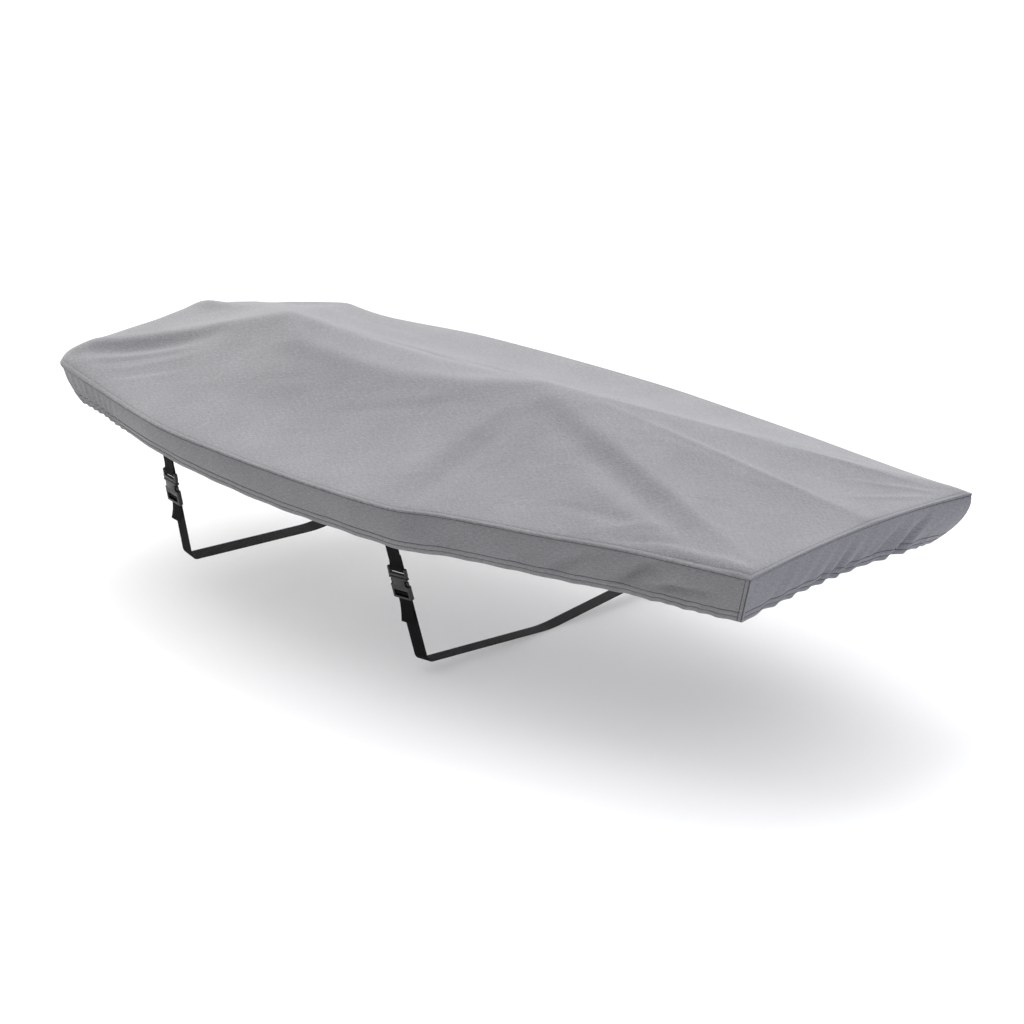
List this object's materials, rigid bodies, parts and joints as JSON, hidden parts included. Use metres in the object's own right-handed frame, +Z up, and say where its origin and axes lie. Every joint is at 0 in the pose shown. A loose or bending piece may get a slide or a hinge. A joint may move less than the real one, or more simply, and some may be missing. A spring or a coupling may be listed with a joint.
{
  "type": "boat cover",
  "caption": "Fitted canvas cover for a small blunt-bowed dinghy, its top pulled taut into folds over a short gathered skirt, with webbing straps that buckle under the hull.",
  "frame": {"origin": "on the centreline at mid length, in the plane of the boat's gunwale, which the cover's seam follows", "axes": "+X from bow to stern, -Y the port side that carries the buckles, +Z up"},
  "size_m": [2.368, 1.1337, 0.6269],
  "materials": {
    "canvas": "matt grey woven polyester canvas",
    "webbing": "black woven polypropylene webbing",
    "plastic": "black moulded nylon, slightly satin"
  },
  "bodies": {
    "root": {"top_panel": "canvas", "side_band": "canvas", "stern_band": "canvas", "fore_anchor_web": "webbing", "fore_belly_web": "webbing", "aft_anchor_web": "webbing", "aft_belly_web": "webbing", "fore_buckle_plug": "plastic", "fore_buckle_socket": "plastic", "aft_buckle_plug": "plastic", "aft_buckle_socket": "plastic"}
  },
  "joints": []
}
